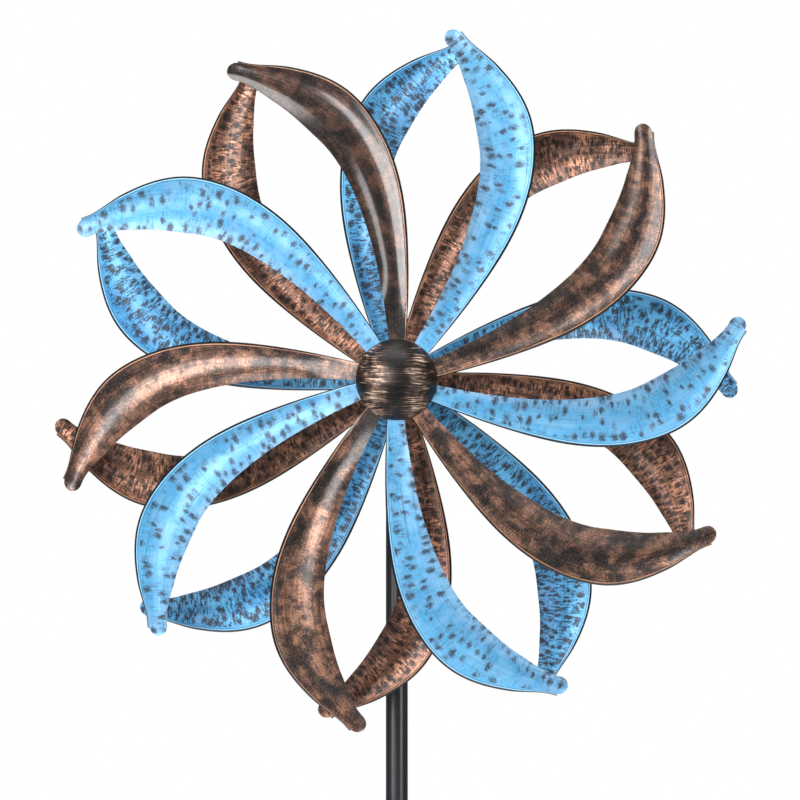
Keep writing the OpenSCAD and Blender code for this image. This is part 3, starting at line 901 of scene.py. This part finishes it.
def add_axle_bolt():
    low, high, _ = along_axle("axle_bolt")
    seat = along_axle("rear_saddle")[0]
    profile = [(0, low), (AXLE_FLAT - 0.6, low), (AXLE_FLAT, low + 0.1, 0.5), (AXLE_FLAT, seat - 0.2, 0),
               (AXLE_FLAT - 0.6, seat), (AXLE_R, seat), (AXLE_R, high - 16)]
    profile += thread(AXLE_R, 0.5, high - 15.8, high - 1, 1.2) + [(3.2, high), (0, high)]
    make("axle_hex_bolt", [(*turned(profile, 48), axle)], [zinc], "post", ["axle_bolt"])


def add_spacer_and_washers():
    low, high, radius = along_axle("wheel_spacer")
    tube = turned(ring_profile(AXLE_BORE, radius, low, high, 0.4))
    make("axle_spacer_tube", [(*tube, axle)], [zinc], "post", ["wheel_spacer"])
    starts = [along_axle("axle_standoff")[1], low - WASHER_H, high, along_axle("lock_nut")[0] - WASHER_H]
    washers = [turned(ring_profile(AXLE_BORE, WASHER_R, z, z + WASHER_H, 0.25)) for z in starts]
    make("axle_flat_washers", [(*washer, axle) for washer in washers], [zinc], "post",
         ["axle_washers"])


def add_lock_nut():
    low, high, _ = along_axle("lock_nut")
    profile = [(4.4, low), (6, low), (AXLE_FLAT, low + 0.2, 0.5), (AXLE_FLAT, high - 1.9, -0.4),
               (6.1, high - 1.5), (6, high - 0.3), (5.6, high), (4.7, high), (4.5, high - 0.5),
               (4.02, high - 0.6), (4.02, low + 0.4)]
    points, faces = turned(profile, 48)
    make("axle_lock_nut", [(points, faces, axle, band_slots(faces, 48, (7, 8, 9)))], [zinc, rubber],
         "post", ["lock_nut"])


add_axle_bolt()
add_spacer_and_washers()
add_lock_nut()

# ---- Pole and fork fittings -------------------------------------------------------------

tube_r = up_pole("stake_tube")[2]


def add_pole_screws():
    """One screw at the pole's foot and one on either side of each joint, all at the back."""
    couplings = [up_pole(node)[1] for node in ("lower_pole", "middle_pole")]
    lowest = up_pole("pole_screws")[0] + SCREW_HEAD_R
    heights = [lowest] + [z + step for z in couplings for step in (-20, 20)]
    wall = up_pole("lower_pole")[2]
    screw = turned(screw_profile(wall - 5.2, wall + 0.02), 36)
    moves = [shifted(z=z) @ spun(-90, "X") @ spun(17 * i) for i, z in enumerate(heights)]
    make("pole_pan_screws", [(*screw, move) for move in moves], [zinc], "post", ["pole_screws"])


def add_pole_cap():
    low, high, r = up_pole("pole_cap")
    profile = [(0, low), (r - 1.5, low), (r - 1.3, low + 0.4), (r - 1.3, high - 2.5), (r - 0.1, high - 2.5),
               (r, high - 2.3), (r, high - 1.2), (r - 0.3, high - 0.6), (r - 1, high - 0.15),
               (r - 2, high), (2.2, high), (1.8, high - 0.25), (0, high - 0.3)]
    make("pole_end_cap", [(*turned(profile), Matrix())], [rubber], "post", ["pole_cap"])


def add_stop_collar():
    low, high, radius = up_pole("stop_collar")
    profile = ring_profile(tube_r + 0.02, radius, low, high, 0.8)
    make("stop_collar_ring", [(*turned(profile), Matrix())], [fork_coat], "post", ["stop_collar"])


def add_welds():
    """Beads where the fork's bar and spike meet the tube, and one under the stop collar."""
    bar_z = up_pole("fork_bar")[1] - 4
    bar_end = weld_bead(4.3, 1.5, 13)
    welds = [(*bar_end, shifted(x, 0, bar_z) @ spun(90, "Y")) for x in (0.4 - tube_r, tube_r - 0.4)]
    welds.append((*weld_bead(6.4, 1.3, 17), shifted(z=0.2)))
    collar = weld_bead(tube_r + 0.4, 1.2, 25)
    welds.append((*collar, shifted(z=up_pole("stop_collar")[0] - 0.2)))
    make("fork_welds", welds, [fork_coat], "post", [], 60)


add_pole_screws()
add_pole_cap()
add_stop_collar()
add_welds()

# ---- Materials of the CAD nodes that stay ----------------------------------------------

# A node that a piece stands for is hidden by now.
finishes = {"ground_spike": fork_coat, "fork_bar": fork_coat, "lower_coupler": zinc, "upper_coupler": zinc}
for name, node in frame["nodes"].items():
    if node.hide_render:
        continue
    if not node.material_slots:
        node.data.materials.append(coat)
    for slot in node.material_slots:
        slot.material = finishes.get(name, coat)

# ---- Floor ------------------------------------------------------------------------------

FLOOR_R = 7
FLOOR_STEPS = 96


def add_floor(z):
    """A round floor that fades out, so that it meets the white background without an edge."""
    corners = [math.tau * i / FLOOR_STEPS for i in range(FLOOR_STEPS)]
    points = [(0, 0, z)] + [(FLOOR_R * math.cos(a), FLOOR_R * math.sin(a), z) for a in corners]
    faces = [(0, 1 + i, 1 + (i + 1) % FLOOR_STEPS) for i in range(FLOOR_STEPS)]
    mesh = bpy.data.meshes.new("floor")
    mesh.from_pydata(points, [], faces)
    floor = bpy.data.objects.new("floor", mesh)
    bpy.context.scene.collection.objects.link(floor)
    n = Nodes("floor_paint", Specular_IOR_Level=0.2)
    place = n.object()
    away = n.new("ShaderNodeVectorMath", operation="LENGTH")
    n.put(away.inputs[0], place)
    n.put(n.shader.inputs["Alpha"], n.span(away.outputs["Value"], 3.4, 0.9))
    colour = n.mix(n.noise(place, 3, 3), srgb(236, 236, 237), srgb(243, 243, 243))
    mesh.materials.append(n.finish(colour, 0.8))


add_floor(cad_box[0][2])

# ---- Light ------------------------------------------------------------------------------


def add_world():
    """The camera sees white, and the pieces are lit by a dim grey."""
    world = bpy.data.worlds.new("studio")
    bpy.context.scene.world = world
    world.use_nodes = True
    tree = world.node_tree
    tree.nodes.clear()
    seen = tree.nodes.new("ShaderNodeBackground")
    seen.inputs["Color"].default_value = (1, 1, 1, 1)
    lit = tree.nodes.new("ShaderNodeBackground")
    lit.inputs["Color"].default_value = (0.75, 0.77, 0.8, 1)
    lit.inputs["Strength"].default_value = 0.24
    path = tree.nodes.new("ShaderNodeLightPath")
    both = tree.nodes.new("ShaderNodeMixShader")
    out = tree.nodes.new("ShaderNodeOutputWorld")
    tree.links.new(path.outputs["Is Camera Ray"], both.inputs[0])
    tree.links.new(lit.outputs[0], both.inputs[1])
    tree.links.new(seen.outputs[0], both.inputs[2])
    tree.links.new(both.outputs[0], out.inputs[0])


def softbox(name, where, aim, width, height, watts):
    data = bpy.data.lights.new(name, "AREA")
    data.shape = "RECTANGLE"
    data.size = width
    data.size_y = height
    data.energy = watts
    lamp = bpy.data.objects.new(name, data)
    bpy.context.scene.collection.objects.link(lamp)
    lamp.location = where
    lamp.rotation_euler = (Vector(aim) - Vector(where)).to_track_quat("-Z", "Y").to_euler()


add_world()
hub = centres["front"]
softbox("key_box", (-1.05, -2.2, 1.95), hub, 1.5, 1.6, 61)
softbox("left_box", (-1.7, -1.7, 1.5), hub, 0.7, 1.9, 20)
softbox("right_box", (1.95, -1.7, 1.6), hub, 0.7, 2.3, 26)
softbox("top_box", (-0.1, -0.6, 3.1), hub, 1.8, 0.9, 26)
softbox("back_box", (0.9, 3.0, 2.2), (0, 0, 1.1), 2.2, 2.0, 70)

# ---- Camera: set so that the hub, the blades' tips and the pole lie where the photo has them

data = bpy.data.cameras.new("camera")
data.lens = 111.4
data.sensor_width = 36
data.clip_start = 0.05
camera = bpy.data.objects.new("camera", data)
bpy.context.scene.collection.objects.link(camera)
camera.location = hub + Vector((0.0068, -2.1319, -0.0198))
camera.rotation_euler = (math.radians(90.06), 0, math.radians(0.1))
bpy.context.scene.camera = camera
bpy.context.scene.view_settings.view_transform = "Standard"

bpy.context.view_layer.update()
